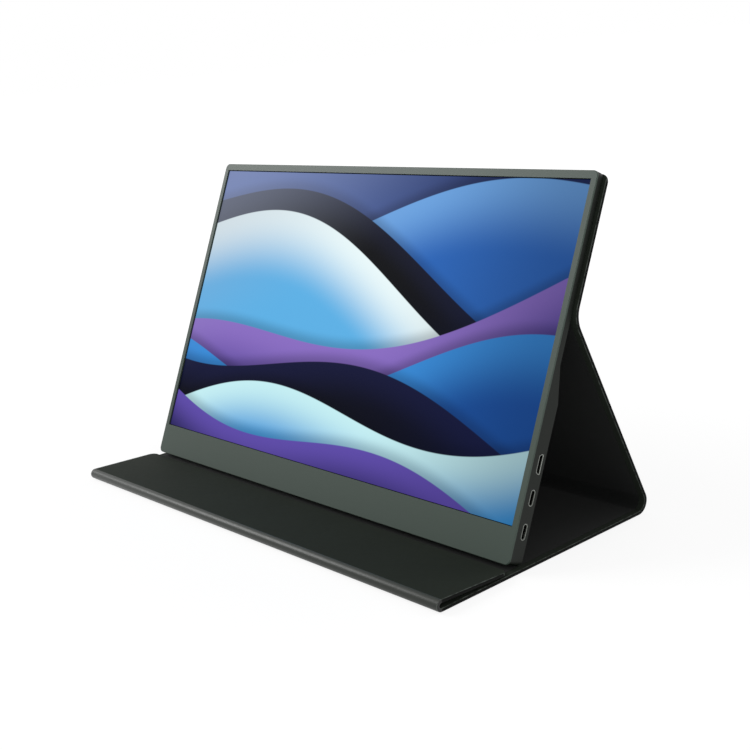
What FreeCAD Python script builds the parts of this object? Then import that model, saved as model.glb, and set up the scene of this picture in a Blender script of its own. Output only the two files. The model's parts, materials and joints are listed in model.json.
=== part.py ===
import FreeCAD, Part
import os
import re
import Sketcher

# Portable monitor that leans on a soft folding cover.
# Millimetres, +Z up, X across the screen, the viewer looks along +Y.

SIZES = (
    # monitor outline, read from the photo against a 15.6 inch wide picture
    ("active_width", "344.2"), ("active_height", "193.6"),
    ("bezel_side", "4.3"), ("bezel_top", "5.1"), ("bezel_chin", "21.3"),
    ("outline_corner", "3.5"), ("bezel_depth", "1.0"), ("bezel_reveal", "0.4"),
    ("bezel_chamfer", "0.3"), ("upper_depth", "5.0"), ("lower_depth", "10.4"),
    ("case_wall", "0.9"), ("slope_start", "91"), ("slope_end", "112"),
    ("back_round", "3.0"), ("top_round", "1.2"),
    # pose in the photo, degrees
    ("lean", "24.5"), ("prop_lean", "24.4"),
    # fits
    ("rest_gap", "0.3"), ("cut_overrun", "0.5"), ("part_gap", "0.3"), ("snug_gap", "0.1"),
    # picture panel, front to back
    ("gasket_depth", "0.2"), ("polariser_depth", "0.15"), ("glass_depth", "0.4"),
    ("prism_depth", "0.2"), ("diffuser_depth", "0.2"), ("guide_depth", "0.5"),
    ("reflector_depth", "0.15"), ("tray_depth", "0.3"), ("glass_border", "1.4"),
    ("polariser_border", "0.8"), ("glass_ledge", "3.0"), ("frame_bar", "1.5"),
    ("gasket_width", "1.0"), ("shelf_foot", "3.0"), ("shelf_top", "14.5"),
    ("shelf_gap", "9.6"), ("source_end", "6"), ("source_foot", "3.6"),
    ("source_height", "8.8"), ("source_depth", "0.8"), ("film_width", "34"),
    ("film_height", "7.4"), ("film_foot", "10.6"), ("film_depth", "0.15"),
    ("film_end", "13"), ("led_strip_depth", "0.15"), ("led_strip_height", "2.6"),
    ("led_strip_end", "4.0"), ("led_width", "3.0"), ("led_height", "1.3"),
    ("led_depth", "0.35"),
    # main board and sockets
    ("board_depth", "1.0"), ("board_stand", "0.4"), ("board_edge_gap", "0.4"),
    ("main_board_width", "79"), ("main_board_height", "56.5"), ("board_under", "5.9"),
    ("socket_length", "7.4"), ("socket_recess", "0.3"), ("socket_skin", "0.3"),
    ("socket_back", "0.6"), ("socket_gap", "0.2"), ("usb_width", "8.9"), ("usb_height", "3.2"),
    ("usb_low", "19.4"), ("usb_high", "38.3"), ("video_low", "57.1"), ("video_width", "11.0"),
    ("video_height", "3.0"), ("video_bevel", "1.1"), ("tongue_width", "6.4"),
    ("tongue_depth", "0.7"), ("tongue_short", "1.0"), ("video_tongue_width", "8.0"),
    ("scaler_side", "14"), ("scaler_depth", "1.1"), ("memory_side", "5"),
    ("memory_depth", "0.8"), ("power_side", "6"), ("power_depth", "1.0"),
    ("choke_side", "6.5"), ("choke_depth", "2.2"),
    ("scaler_across_share", "0.48"), ("scaler_up_share", "0.62"),
    ("memory_across_share", "0.22"), ("memory_up_share", "0.80"),
    ("power_across_share", "0.72"), ("power_up_share", "0.36"),
    ("choke_across_share", "0.50"), ("choke_up_share", "0.28"),
    ("ribbon_width", "14"), ("ribbon_depth", "0.3"), ("ribbon_edge", "4"),
    ("ribbon_rise", "4.5"), ("ribbon_lap", "3.5"), ("ribbon_drop", "0.8"),
    ("flex_depth", "0.2"), ("flex_lap", "4"), ("key_flex_height", "6"),
    ("key_flex_drop", "17"), ("lead_height", "3"), ("lead_rise", "4"), ("lead_tab", "4"),
    # screws
    ("case_screw_out", "8.4"), ("case_screw_in", "40.4"), ("case_screw_high", "7.5"),
    ("boss_radius", "2.4"), ("case_head_radius", "1.9"), ("case_head_depth", "0.4"),
    ("case_shank_radius", "0.8"), ("case_shank_length", "5"), ("screw_gap", "0.05"),
    ("board_head_radius", "1.4"), ("board_head_depth", "0.6"), ("board_shank_radius", "0.6"),
    ("board_bite", "0.9"), ("board_boss_radius", "2.0"), ("board_screw_edge", "3.2"),
    # left-hand controls
    ("key_board_width", "23"), ("key_board_height", "47"), ("key_screw_edge", "3.0"),
    ("jog_high", "48.6"), ("jog_radius", "4.3"), ("jog_depth", "2.2"), ("jog_proud", "1.1"),
    ("jog_pin_radius", "1.0"), ("jog_fit", "0.06"), ("jog_plate_depth", "0.7"),
    ("jog_plate_front", "1.8"), ("jog_plate_back", "6.2"), ("jog_plate_half", "2.6"),
    ("jog_window", "8.4"), ("press_travel", "0.4"), ("jog_switch_length", "5"),
    ("jog_switch_width", "7"), ("jog_switch_depth", "2"),
    ("button_high", "66"), ("button_width", "9"), ("button_height", "2.6"),
    ("button_proud", "0.4"), ("flange_depth", "0.8"), ("flange_rim", "0.7"),
    ("button_drop", "2.2"), ("plunger_length", "0.5"), ("plunger_side", "2.2"),
    ("switch_length", "3"), ("switch_width", "6"), ("switch_depth", "3.5"),
    ("jack_high", "27.5"), ("jack_bore", "1.8"), ("jack_length", "13"), ("jack_width", "6.6"),
    ("jack_depth", "4.5"), ("jack_reach", "12"), ("jack_hole", "2.4"),
    # sound
    ("speaker_gap", "8"), ("speaker_width", "40"), ("speaker_height", "20"),
    ("speaker_depth", "4.0"), ("speaker_foot", "16"), ("speaker_round", "2.0"),
    ("grille_pitch", "4"), ("grille_slot", "1.2"), ("grille_height", "14"),
    # steel strips that the cover's magnets hold on to
    ("strip_depth", "0.3"), ("strip_height", "16"), ("strip_end", "26"),
    # cover
    ("cover_overhang", "2.8"), ("skin_depth", "0.5"), ("stiff_depth", "1.2"),
    ("lining_depth", "0.5"), ("turn_in", "2.5"), ("spine_margin", "10"),
    ("cover_corner", "5"), ("crease_share", "0.6614"), ("cover_top_inset", "0.5"),
    ("fold_gap", "0.3"), ("rear_fold_radius", "6.9"), ("front_fold_radius", "2.4"),
    ("lip_length", "50"), ("lip_gap", "3"),
    ("magnet_radius", "5"), ("magnet_depth", "1.1"), ("upper_magnet_end", "12"),
    ("upper_magnet_high", "12"), ("lip_magnet_end", "52"), ("lip_magnet_in", "11"),
)

LED_COUNT = 29
FILM_COUNT = 5
UPPER_MAGNET_COUNT = 6
LIP_MAGNET_COUNT = 4
GRILLE_COUNT = 7

doc = FreeCAD.newDocument("portable_monitor")
sheet = doc.addObject("Spreadsheet::Sheet", "Sizes")
for row, (name, number) in enumerate(SIZES, 1):
    sheet.set("A%d" % row, name)
    sheet.set("B%d" % row, number)
    sheet.setAlias("B%d" % row, name)
doc.recompute()

layout = doc.addObject("App::VarSet", "Layout")
NAMES = {name: "Sizes." + name for name, number in SIZES}
PARTS = []
V = FreeCAD.Vector
ALONG_X = V(1, 0, 0)


def text(formula):
    """The formula with each name pointed at its cell."""
    return re.sub(r"[A-Za-z_]\w*", lambda hit: NAMES.get(hit.group(), hit.group()), formula)


def bind(item, prop, formula):
    item.setExpression(prop, text(formula))


def value(formula):
    found = layout.evalExpression(text(formula))
    return float(getattr(found, "Value", found))


def derive(name, formula):
    layout.addProperty("App::PropertyFloat", name)
    bind(layout, name, formula)
    NAMES[name] = "Layout." + name


# what follows from the sizes
derive("monitor_width", "active_width + 2 * bezel_side")
derive("half_width", "monitor_width / 2")
derive("monitor_height", "bezel_chin + active_height + bezel_top")
derive("cover_thick", "skin_depth + stiff_depth + lining_depth")
derive("cover_width", "monitor_width + 2 * cover_overhang")
derive("seat_drop", "back_round * (1 - cos(lean)) + (lower_depth - back_round) * sin(lean)")
derive("monitor_z", "cover_thick + rest_gap + seat_drop")
derive("crease_turn", "lean + prop_lean")
derive("crease_height", "monitor_height * crease_share")
derive("crease_step", "lower_depth - upper_depth + fold_gap")
derive("crease_radius", "crease_step / (1 - cos(crease_turn))")
derive("prop_top_v", "crease_height - crease_radius * sin(crease_turn)")
derive("prop_top_w", "upper_depth + cover_thick / 2 + crease_step")
derive("prop_top_y", "prop_top_v * sin(lean) + prop_top_w * cos(lean)")
derive("prop_top_z", "monitor_z + prop_top_v * cos(lean) - prop_top_w * sin(lean)")
derive("rear_turn", "90 + prop_lean")
derive("prop_z", "cover_thick / 2 + rear_fold_radius * (1 + sin(prop_lean))")
derive("prop_length", "(prop_top_z - prop_z) / cos(prop_lean)")
derive("prop_foot_y", "prop_top_y + prop_length * sin(prop_lean)")
derive("rear_end_y", "prop_foot_y - rear_fold_radius * cos(prop_lean)")
derive("lip_rise", "2 * front_fold_radius - cover_thick - rest_gap")
derive("wedge", "asin(lip_rise / lip_length) / 1 deg")
derive("front_end_y", "-lip_gap - lip_length * cos(wedge) - front_fold_radius * sin(wedge)")
derive("front_most", "front_end_y - front_fold_radius - cover_thick / 2")
derive("rear_most", "rear_end_y + rear_fold_radius + cover_thick / 2")
derive("middle_y", "(front_most + rear_most) / 2")
derive("base_length", "rear_end_y - front_end_y")
derive("upper_length", "monitor_height - cover_top_inset - crease_height")
# the five frames: a place in Y and Z, and a turn about X
derive("monitor_y", "-middle_y")
derive("monitor_angle", "90 - lean")
derive("base_y", "front_end_y - middle_y")
derive("base_z", "cover_thick / 2")
derive("base_angle", "0 * lean")
derive("prop_y", "prop_foot_y - middle_y")
derive("prop_angle", "90 + prop_lean")
derive("lip_y", "-lip_gap - middle_y")
derive("lip_z", "cover_thick / 2 + front_fold_radius * (1 + cos(wedge)) - lip_length * sin(wedge)")
derive("lip_angle", "180 - wedge")
derive("upper_mid_w", "upper_depth + cover_thick / 2")
derive("upper_y", "crease_height * sin(lean) + upper_mid_w * cos(lean) - middle_y")
derive("upper_z", "monitor_z + crease_height * cos(lean) - upper_mid_w * sin(lean)")
derive("upper_angle", "90 - lean")
# depths inside the monitor, measured back from its front face
derive("panel_front", "bezel_depth + gasket_depth")
derive("colour_w", "panel_front + polariser_depth")
derive("array_w", "colour_w + glass_depth")
derive("rear_polariser_w", "array_w + glass_depth")
derive("prism_w", "rear_polariser_w + polariser_depth")
derive("diffuser_w", "prism_w + prism_depth")
derive("guide_w", "diffuser_w + diffuser_depth")
derive("reflector_w", "guide_w + guide_depth")
derive("tray_w", "reflector_w + reflector_depth")
derive("tray_back", "tray_w + tray_depth")
derive("inner_back", "lower_depth - case_wall")
derive("board_back", "inner_back - board_stand")
derive("board_front", "board_back - board_depth")
derive("inner_side", "half_width - case_wall")
derive("active_foot", "bezel_chin")
derive("active_head", "bezel_chin + active_height")
derive("glass_side", "active_width / 2 + glass_border")
derive("glass_foot", "active_foot - glass_border")
derive("glass_head", "active_head + glass_border")
derive("ledge_foot", "glass_foot - glass_ledge")
derive("frame_side", "inner_side - part_gap")
derive("frame_head", "monitor_height - case_wall - part_gap")
derive("pocket_side", "glass_side + snug_gap")
derive("pocket_head", "glass_head + snug_gap")
derive("pocket_foot", "ledge_foot - snug_gap")
derive("main_right", "inner_side - board_edge_gap")
derive("main_left", "main_right - main_board_width")
derive("main_board_foot", "usb_low - board_under")
derive("main_head", "main_board_foot + main_board_height")
derive("key_flex_foot", "main_head - key_flex_drop")
derive("socket_out", "half_width - socket_recess")
derive("socket_in", "socket_out - socket_length")
derive("usb_w", "board_front - usb_height / 2")
derive("video_w", "board_front - video_height / 2")
derive("key_left", "-inner_side + board_edge_gap")
derive("key_right", "key_left + key_board_width")
derive("key_foot", "jack_high + jack_width / 2")
derive("key_head", "key_foot + key_board_height")
derive("jog_x", "-half_width - jog_proud + jog_radius")
derive("jog_plate_w", "board_front - snug_gap - jog_plate_depth")
derive("jog_back", "jog_plate_w - part_gap")
derive("jog_front", "jog_back - jog_depth")
derive("jog_switch_x", "jog_x + jog_plate_back + press_travel + part_gap")
derive("button_w", "board_front - button_drop")
derive("flange_out", "-inner_side + part_gap")
derive("flange_in", "flange_out + flange_depth")
derive("plunger_out", "flange_in + press_travel + snug_gap")
derive("plunger_in", "plunger_out + plunger_length")
derive("jack_back", "inner_back - part_gap")
derive("jack_w", "jack_back - jack_depth / 2")
derive("jack_out", "-inner_side + part_gap")
derive("speaker_back", "inner_back - snug_gap")
derive("speaker_head", "speaker_foot + speaker_height")
derive("lead_foot", "speaker_head + lead_rise")
derive("flex_w", "board_front - flex_depth")
# widths that follow the monitor
derive("shelf_width", "2 * (half_width - case_screw_in - boss_radius - shelf_gap)")
derive("source_width", "shelf_width - 2 * source_end")
derive("film_pitch", "(source_width - 2 * film_end - film_width) / %d" % (FILM_COUNT - 1))
derive("led_pitch", "2 * (glass_side - led_strip_end) / %d" % LED_COUNT)
derive("speaker_middle", "main_left - speaker_gap - speaker_width / 2")
derive("strip_width", "monitor_width - 2 * strip_end")
derive("upper_magnet_pitch", "(strip_width - 2 * upper_magnet_end) / %d"
       % (UPPER_MAGNET_COUNT - 1))
derive("lip_magnet_pitch", "(cover_width - 2 * lip_magnet_end) / %d"
       % (LIP_MAGNET_COUNT - 1))
doc.recompute()


def turn(item, frame):
    item.Placement = FreeCAD.Placement(V(), FreeCAD.Rotation(ALONG_X, 1))
    bind(item, "Placement.Rotation.Angle", frame + "_angle")


def seat(item, frame, across, along, out):
    """Put the item's own zero at a point of a frame."""
    spot = {"f": frame, "a": along, "o": out}
    bind(item, "Placement.Base.x", across)
    bind(item, "Placement.Base.y",
         "%(f)s_y + (%(a)s) * cos(%(f)s_angle) - (%(o)s) * sin(%(f)s_angle)" % spot)
    bind(item, "Placement.Base.z",
         "%(f)s_z + (%(a)s) * sin(%(f)s_angle) + (%(o)s) * cos(%(f)s_angle)" % spot)


def block(frame, left, right, low, high, under, over):
    item = doc.addObject("Part::Box", "block")
    bind(item, "Length", "(%s) - (%s)" % (right, left))
    bind(item, "Width", "(%s) - (%s)" % (high, low))
    bind(item, "Height", "(%s) - (%s)" % (over, under))
    turn(item, frame)
    seat(item, frame, left, low, under)
    return item


def slab(left, right, low, high, front, back):
    """A block in the monitor, with its depths measured back from the front face."""
    return block("monitor", left, right, low, high, "-(%s)" % back, "-(%s)" % front)


def rod(frame, across, along, under, over, radius):
    item = doc.addObject("Part::Cylinder", "rod")
    bind(item, "Radius", radius)
    bind(item, "Height", "(%s) - (%s)" % (over, under))
    turn(item, frame)
    seat(item, frame, across, along, under)
    return item


def pin(across, high, front, back, radius):
    return rod("monitor", across, high, "-(%s)" % back, "-(%s)" % front, radius)


def cross_rod(left, right, high, depth, radius):
    """A round bar along X in the monitor."""
    item = doc.addObject("Part::Cylinder", "cross_rod")
    bind(item, "Radius", radius)
    bind(item, "Height", "(%s) - (%s)" % (right, left))
    item.Placement = FreeCAD.Placement(V(), FreeCAD.Rotation(V(0, 1, 0), 90))
    seat(item, "monitor", left, high, "-(%s)" % depth)
    return item


def fuse(items):
    item = doc.addObject("Part::MultiFuse", "joined")
    item.Shapes = items
    item.Refine = True
    return item


def cut(base, tools):
    item = doc.addObject("Part::Cut", "cut")
    item.Base = base
    item.Tool = tools[0] if len(tools) == 1 else fuse(tools)
    item.Refine = True
    return item


def group(items):
    item = doc.addObject("Part::Compound", "group")
    item.Links = items
    return item


def long_hole(left, right, high, depth, width, height):
    """A bar along X with round ends, width up the face and height through the depth."""
    reach = "((%s) - (%s)) / 2" % (width, height)
    half = "(%s) / 2" % height
    core = slab(left, right, "%s - %s" % (high, reach), "%s + %s" % (high, reach),
                "%s - %s" % (depth, half), "%s + %s" % (depth, half))
    ends = [cross_rod(left, right, "%s %s %s" % (high, sign, reach), depth, half)
            for sign in "-+"]
    return fuse([core] + ends)


def part(item, name):
    item.Label = name
    PARTS.append(item)
    return item


def body(frame):
    item = doc.addObject("PartDesign::Body", "body")
    turn(item, frame)
    seat(item, frame, "0", "0", "0")
    return item


def sketch(owner, plane, lift):
    item = owner.newObject("Sketcher::SketchObject", "sketch")
    for feature in owner.Origin.OriginFeatures:
        if feature.Role == plane:
            item.AttachmentSupport = [(feature, "")]
    item.MapMode = "FlatFace"
    bind(item, "AttachmentOffset.Base.z", lift)
    return item


FACE = "XY_Plane"
SIDE = "YZ_Plane"


def pin_point(item, curve, end, across, up):
    """Hold one end of a curve at named distances from the sketch's zero."""
    for kind, axis, formula in (("DistanceX", -2, across), ("DistanceY", -1, up)):
        if formula == "0":
            item.addConstraint(Sketcher.Constraint("PointOnObject", curve, end, axis))
        else:
            rule = Sketcher.Constraint(kind, -1, 1, curve, end, value(formula))
            number = item.addConstraint(rule)
            bind(item, "Constraints[%d]" % number, formula)


def outline(item, points):
    """A closed run of lines through named points; a third entry is a round's radius."""
    spots = [V(value(point[0]), value(point[1]), 0) for point in points]
    count = len(points)
    first = item.GeometryCount
    for place, point in enumerate(points):
        start = spots[place]
        end = spots[(place + 1) % count]
        if len(point) == 2:
            item.addGeometry(Part.LineSegment(start, end), False)
        else:
            middle = V(value(point[3]), value(point[4]), 0)
            bulge = (start + end) * 0.5 - middle
            bulge.normalize()
            through = middle + bulge * value(point[2])
            item.addGeometry(Part.Arc(start, through, end), False)
    for place, point in enumerate(points):
        after = (place + 1) % count
        own = item.Geometry[first + place]
        other = item.Geometry[first + after]
        tail = 2 if own.EndPoint.isEqual(spots[after], 1e-5) else 1
        head = 1 if other.StartPoint.isEqual(spots[after], 1e-5) else 2
        joined = Sketcher.Constraint("Coincident", first + place, tail, first + after, head)
        item.addConstraint(joined)
        pin_point(item, first + after, head, points[after][0], points[after][1])
        if len(point) > 2:
            rule = Sketcher.Constraint("Radius", first + place, value(point[2]))
            number = item.addConstraint(rule)
            bind(item, "Constraints[%d]" % number, point[2])


def box_outline(item, left, right, low, high):
    outline(item, [(left, low), (right, low), (right, high), (left, high)])


def rings(item, spots, radius):
    for across, up in spots:
        middle = V(value(across), value(up), 0)
        number = item.addGeometry(Part.Circle(middle, V(0, 0, 1), value(radius)), False)
        pin_point(item, number, 3, across, up)
        rule = item.addConstraint(Sketcher.Constraint("Radius", number, value(radius)))
        bind(item, "Constraints[%d]" % rule, radius)


def pad(owner, profile, length, back=False):
    item = owner.newObject("PartDesign::Pad", "pad")
    item.Profile = profile
    item.Reversed = back
    bind(item, "Length", length)
    return item


def pocket(owner, profile, length):
    item = owner.newObject("PartDesign::Pocket", "pocket")
    item.Profile = profile
    bind(item, "Length", length)
    return item


def soften(owner, feature, kind, prop, size, wanted):
    """Round or chamfer the edges of a feature that a test picks."""
    doc.recompute()
    names = ["Edge%d" % place for place, edge in enumerate(feature.Shape.Edges, 1)
             if wanted(edge)]
    item = owner.newObject("PartDesign::" + kind, kind)
    item.Base = (feature, names)
    bind(item, prop, size)
    return item


def upright(edge, across, ups):
    """True for an edge along the local Z at one of the outline's corners."""
    spot = edge.CenterOfMass
    flat = edge.BoundBox.XLength + edge.BoundBox.YLength < value("snug_gap") / 10
    near = value("snug_gap")
    return (flat and abs(abs(spot.x) - value(across)) < near
            and min(abs(spot.y - value(up)) for up in ups) < near)


# front bezel: a thin frame with a broad chin and four screw posts behind it
derive("hole_side", "active_width / 2 + bezel_reveal")
derive("hole_foot", "active_foot - bezel_reveal")
derive("hole_head", "active_head + bezel_reveal")
doc.recompute()
SCREWS = [("%s(half_width - case_screw_%s)" % (sign, where), "case_screw_high")
          for sign in ("-", "+") for where in ("out", "in")]
SCREWS = [(across.replace("+(", "("), up) for across, up in SCREWS]
bezel = body("monitor")
flat = sketch(bezel, FACE, "0")
box_outline(flat, "-half_width", "half_width", "0", "monitor_height")
plate = pad(bezel, flat, "bezel_depth", True)
rounded = soften(bezel, plate, "Fillet", "Radius", "outline_corner",
                 lambda edge: upright(edge, "half_width", ("0", "monitor_height")))
window = sketch(bezel, FACE, "0")
box_outline(window, "-hole_side", "hole_side", "hole_foot", "hole_head")
opened = pocket(bezel, window, "bezel_depth + cut_overrun")


def on_front_rim(edge):
    spot = edge.CenterOfMass
    inside = (abs(spot.x) < value("hole_side") + value("bezel_reveal")
              and value("hole_foot - bezel_reveal") < spot.y < value("hole_head + bezel_reveal"))
    return abs(edge.BoundBox.ZMin) < value("snug_gap") / 10 and not inside


softened = soften(bezel, opened, "Chamfer", "Size", "bezel_chamfer", on_front_rim)
posts = sketch(bezel, FACE, "-bezel_depth")
rings(posts, SCREWS, "boss_radius")
posted = pad(bezel, posts, "inner_back - bezel_depth", True)
bores = sketch(bezel, FACE, "-inner_back")
rings(bores, SCREWS, "case_shank_radius + screw_gap")
bored = pocket(bezel, bores, "case_shank_length + cut_overrun")
bored.Reversed = True
part(bezel, "front_bezel")


# rear case: thin upper back, slope, thicker lower back
def side_outline(item, wall, front):
    """The case's side view grown inward by a wall."""
    grow = "(%s)" % wall
    lower = "-(lower_depth - %s)" % grow
    upper = "-(upper_depth - %s)" % grow
    top = "monitor_height - %s" % grow
    bend = "back_round - %s" % grow
    tip = "top_round - %s" % grow
    foot = grow if wall != "0" else "0"
    outline(item, [
        (foot, front),
        (foot, "-(lower_depth - back_round)", bend, "back_round", "-(lower_depth - back_round)"),
        ("back_round", lower),
        ("slope_start", lower),
        ("slope_end", upper),
        ("monitor_height - top_round", upper, tip,
         "monitor_height - top_round", "-(upper_depth - top_round)"),
        (top, "-(upper_depth - top_round)"),
        (top, front),
    ])


outer = body("monitor")
view = sketch(outer, SIDE, "-half_width")
side_outline(view, "0", "-bezel_depth")
pad(outer, view, "monitor_width")
plan = body("monitor")
face = sketch(plan, FACE, "0")
box_outline(face, "-half_width", "half_width", "0", "monitor_height")
tall = pad(plan, face, "lower_depth + cut_overrun", True)
soften(plan, tall, "Fillet", "Radius", "outline_corner",
       lambda edge: upright(edge, "half_width", ("0", "monitor_height")))
hull = doc.addObject("Part::Common", "hull")
hull.Base = outer
hull.Tool = plan
inner = body("monitor")
hollow = sketch(inner, SIDE, "-inner_side")
side_outline(hollow, "case_wall", "-bezel_depth + cut_overrun")
pad(inner, hollow, "2 * inner_side")
through = "half_width + cut_overrun"
short = "inner_side - cut_overrun"
openings = [
    long_hole(short, through, high, "usb_w", "usb_width + 2 * socket_gap",
              "usb_height + 2 * socket_gap") for high in ("usb_low", "usb_high")]


def video_profile(owner, grow, left, length):
    """The bevelled shape of the small video socket, grown by a gap."""
    drawn = sketch(owner, SIDE, left)
    low = "video_low - video_width / 2 - (%s)" % grow
    high = "video_low + video_width / 2 + (%s)" % grow
    near = "-(video_w - video_height / 2 - (%s))" % grow
    far = "-(video_w + video_height / 2 + (%s))" % grow
    outline(drawn, [(low, far), (high, far), (high, "-video_w"),
                    ("%s - video_bevel" % high, near), ("%s + video_bevel" % low, near),
                    (low, "-video_w")])
    return pad(owner, drawn, length)


video_hole = body("monitor")
video_profile(video_hole, "socket_gap", short, "case_wall + 2 * cut_overrun")
openings.append(video_hole)
openings.append(slab("-(%s)" % through, "-(%s)" % short, "jog_high - jog_window / 2",
                     "jog_high + jog_window / 2", "jog_front - part_gap", "jog_back + part_gap"))
openings.append(long_hole("-(%s)" % through, "-(%s)" % short, "button_high", "button_w",
                          "button_width + 2 * part_gap", "button_height + 2 * part_gap"))
openings.append(cross_rod("-(%s)" % through, "-(%s)" % short, "jack_high", "jack_w", "jack_hole"))
for across, up in SCREWS:
    openings.append(pin(across, up, "inner_back - cut_overrun", "lower_depth + cut_overrun",
                        "case_shank_radius + screw_gap"))
    openings.append(pin(across, up, "lower_depth - case_head_depth - screw_gap",
                        "lower_depth + cut_overrun", "case_head_radius + snug_gap"))
for sign in ("-", ""):
    for number in range(GRILLE_COUNT):
        middle = "%sspeaker_middle + grille_pitch * %g" % (sign, number - (GRILLE_COUNT - 1) / 2)
        openings.append(slab("%s - grille_slot / 2" % middle, "%s + grille_slot / 2" % middle,
                             "speaker_foot + (speaker_height - grille_height) / 2",
                             "speaker_foot + (speaker_height + grille_height) / 2",
                             "inner_back - cut_overrun", "lower_depth + cut_overrun"))
BOARD_SCREWS = [
    ("main_left + board_screw_edge", "main_board_foot + board_screw_edge * 3"),
    ("main_left + board_screw_edge", "main_head - board_screw_edge"),
    ("main_right - board_screw_edge * 3", "main_head - board_screw_edge"),
    ("key_right - key_screw_edge", "key_foot + key_screw_edge"),
    ("key_right - key_screw_edge", "key_head - key_screw_edge"),
]
shell = cut(hull, [inner] + openings)
stands = [pin(across, up, "board_back", "inner_back + board_stand", "board_boss_radius")
          for across, up in BOARD_SCREWS]
bites = [pin(across, up, "board_back - cut_overrun", "board_back + board_bite",
             "board_shank_radius + screw_gap") for across, up in BOARD_SCREWS]
part(cut(fuse([shell] + stands), bites), "rear_case")

screws = []
for across, up in SCREWS:
    head = pin(across, up, "lower_depth - case_head_depth", "lower_depth", "case_head_radius")
    shank = pin(across, up, "lower_depth - case_head_depth - case_shank_length",
                "lower_depth - case_head_depth / 2", "case_shank_radius")
    screws.append(fuse([head, shank]))
part(group(screws), "case_screws")

# picture panel, front to back
rim = slab("-hole_side - gasket_width", "hole_side + gasket_width", "hole_foot - gasket_width",
           "hole_head + gasket_width", "bezel_depth", "panel_front")
rim_hole = slab("-hole_side", "hole_side", "hole_foot", "hole_head",
                "bezel_depth - cut_overrun", "panel_front + cut_overrun")
part(cut(rim, [rim_hole]), "panel_gasket")
POLARISER = ("-active_width / 2 - polariser_border", "active_width / 2 + polariser_border",
             "active_foot - polariser_border", "active_head + polariser_border")
GLASS = ("-glass_side", "glass_side", "glass_foot", "glass_head")
part(slab(*POLARISER, "panel_front", "colour_w"), "front_polariser")
part(slab(*GLASS, "colour_w", "array_w"), "colour_glass")
part(slab("-glass_side", "glass_side", "ledge_foot", "glass_head", "array_w",
          "rear_polariser_w"), "array_glass")
part(slab(*POLARISER, "rear_polariser_w", "prism_w"), "rear_polariser")
part(slab(*GLASS, "prism_w", "diffuser_w"), "prism_sheet")
part(slab(*GLASS, "diffuser_w", "guide_w"), "diffuser_sheet")
part(slab(*GLASS, "guide_w", "reflector_w"), "light_guide")
part(slab("-glass_side", "glass_side", "ledge_foot", "glass_head", "reflector_w", "tray_w"),
     "reflector_sheet")
part(slab("-glass_side + led_strip_end", "glass_side - led_strip_end",
          "glass_foot - part_gap - led_strip_height", "glass_foot - part_gap",
          "reflector_w - led_strip_depth", "reflector_w"), "led_strip")
leds = []
for number in range(LED_COUNT):
    middle = "led_pitch * %g" % (number - (LED_COUNT - 1) / 2)
    leds.append(slab("%s - led_width / 2" % middle, "%s + led_width / 2" % middle,
                     "glass_foot - part_gap - led_height", "glass_foot - part_gap",
                     "reflector_w - led_strip_depth - led_depth", "reflector_w - led_strip_depth"))
part(group(leds), "led_chips")
frame = fuse([slab("-frame_side", "frame_side", "shelf_top", "frame_head", "panel_front", "tray_w"),
              slab("-shelf_width / 2", "shelf_width / 2", "shelf_foot", "shelf_top + cut_overrun",
                   "panel_front", "tray_w")])
part(cut(frame, [
    slab("-pocket_side", "pocket_side", "pocket_foot", "pocket_head",
         "panel_front - cut_overrun", "tray_w + cut_overrun"),
    slab("-pocket_side", "pocket_side", "shelf_foot - cut_overrun", "pocket_foot + cut_overrun",
         "panel_front - cut_overrun", "array_w"),
    slab("-source_width / 2 - snug_gap", "source_width / 2 + snug_gap", "source_foot - snug_gap",
         "source_foot + source_height + snug_gap", "panel_front - cut_overrun",
         "array_w + source_depth"),
]), "panel_frame")
part(fuse([slab("-frame_side", "frame_side", "shelf_top", "frame_head", "tray_w", "tray_back"),
           slab("-shelf_width / 2", "shelf_width / 2", "shelf_foot", "shelf_top + cut_overrun",
                "tray_w", "tray_back")]), "panel_tray")
part(slab("-source_width / 2", "source_width / 2", "source_foot", "source_foot + source_height",
          "array_w", "array_w + source_depth"), "source_board")
films = []
for number in range(FILM_COUNT):
    middle = "film_pitch * %g" % (number - (FILM_COUNT - 1) / 2)
    films.append(slab("%s - film_width / 2" % middle, "%s + film_width / 2" % middle,
                      "film_foot", "film_foot + film_height", "array_w - film_depth", "array_w"))
part(group(films), "source_films")
derive("ribbon_left", "main_left + ribbon_edge")
derive("ribbon_low", "shelf_foot - ribbon_drop")
doc.recompute()
RIBBON = ("ribbon_left", "ribbon_left + ribbon_width")
part(fuse([
    slab(*RIBBON, "ribbon_low - ribbon_depth", "ribbon_low + ribbon_rise",
         "array_w - ribbon_depth", "array_w"),
    slab(*RIBBON, "ribbon_low - ribbon_depth", "ribbon_low", "array_w - ribbon_depth",
         "board_front"),
    slab(*RIBBON, "ribbon_low - ribbon_depth", "main_board_foot + ribbon_lap",
         "board_front - ribbon_depth", "board_front"),
]), "panel_ribbon")

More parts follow.
